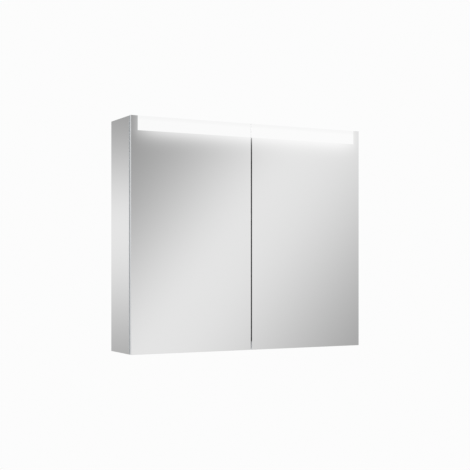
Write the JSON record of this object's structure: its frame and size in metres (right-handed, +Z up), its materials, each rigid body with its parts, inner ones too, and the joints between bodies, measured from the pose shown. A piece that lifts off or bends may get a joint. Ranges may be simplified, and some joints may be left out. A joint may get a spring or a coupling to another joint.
{
  "type": "mirror cabinet",
  "caption": "Shallow wall-hung bathroom cabinet with double-mirror doors, a lit satin band along their top edge, glass shelves, a socket and a light switch inside.",
  "frame": {"origin": "midway between the two wall screws, on the face of the wall (the back of the wall rail)", "axes": "+X to the right along the front, +Y into the wall, +Z up; the doors face -Y"},
  "size_m": [0.8, 0.16, 0.7],
  "materials": {
    "door_mirror": "silvered float glass with a satin band along its top edge and polished edges",
    "side_mirror": "silvered glass with a ground bevel",
    "mirror_lining": "silvered glass",
    "satin_aluminium": "fine satin anodised",
    "panel_aluminium": "satin anodised",
    "profile_aluminium": "extruded, matt anodised",
    "hinge_aluminium": "extruded, matt anodised",
    "sheet_aluminium": "brushed sheet",
    "opal_acrylic": "opal, lit from behind",
    "circuit_board": "white solder mask",
    "led_phosphor": "yellow phosphor in a white cup",
    "white_plastic": "fine grained",
    "switch_plastic": "smooth",
    "brass": "bright",
    "shelf_glass": "clear float glass with polished edges",
    "nickel": "satin nickel",
    "clear_silicone": "translucent",
    "magnet_steel": "ground pole face",
    "zinc_steel": "zinc plated",
    "grey_rubber": "moulded",
    "beech": "turned and fluted"
  },
  "bodies": {
    "cabinet": {"side_left": "satin_aluminium", "side_right": "satin_aluminium", "side_mirror_left": "side_mirror", "side_mirror_right": "side_mirror", "top_panel": "panel_aluminium", "bottom_panel": "panel_aluminium", "bottom_rail": "profile_aluminium", "back_mirror": "mirror_lining", "back_cover": "sheet_aluminium", "service_cover": "sheet_aluminium", "hinge_socket_left": "hinge_aluminium", "hinge_socket_right": "hinge_aluminium", "hinge_end_plates": "hinge_aluminium", "hinge_bearings": "white_plastic", "light_housing": "profile_aluminium", "light_diffuser": "opal_acrylic", "light_end_caps": "profile_aluminium", "led_board": "circuit_board", "led_chips": "led_phosphor", "led_driver": "white_plastic", "terminal_block": "white_plastic", "cable_grommet": "grey_rubber", "power_box": "white_plastic", "power_faceplate": "white_plastic", "socket_insert": "white_plastic", "socket_contacts": "brass", "switch_frame": "white_plastic", "shelf_lower": "shelf_glass", "shelf_upper": "shelf_glass", "shelf_supports": "nickel", "shelf_pads": "clear_silicone", "magnet_housings": "white_plastic", "magnets": "magnet_steel", "door_buffers": "clear_silicone", "wall_rail": "zinc_steel", "hanging_hooks": "zinc_steel", "hook_screws": "zinc_steel", "wall_spacers": "grey_rubber", "corner_dowels": "beech", "corner_brackets": "zinc_steel", "bracket_screws": "zinc_steel"},
    "door_left": {"door_left_front_glass": "door_mirror", "door_left_back_glass": "door_mirror", "door_left_hinge_rail": "hinge_aluminium", "door_left_striker": "nickel"},
    "door_right": {"door_right_front_glass": "door_mirror", "door_right_back_glass": "door_mirror", "door_right_hinge_rail": "hinge_aluminium", "door_right_striker": "nickel"},
    "rocker": {"switch_rocker": "switch_plastic"}
  },
  "joints": [
    {"name": "door_left_hinge", "type": "hinge", "parent": "cabinet", "child": "door_left", "pos_m": [-0.39554, -0.14884, -0.28], "axis": [0, 0, -1], "range_deg": [0, 90]},
    {"name": "door_right_hinge", "type": "hinge", "parent": "cabinet", "child": "door_right", "pos_m": [0.39554, -0.14884, -0.28], "axis": [0, 0, 1], "range_deg": [0, 90]},
    {"name": "switch_rocker_pivot", "type": "hinge", "parent": "cabinet", "child": "rocker", "pos_m": [0.3646, -0.0575, -0.016], "axis": [-1, 0, 0], "range_deg": [0, 14]}
  ]
}
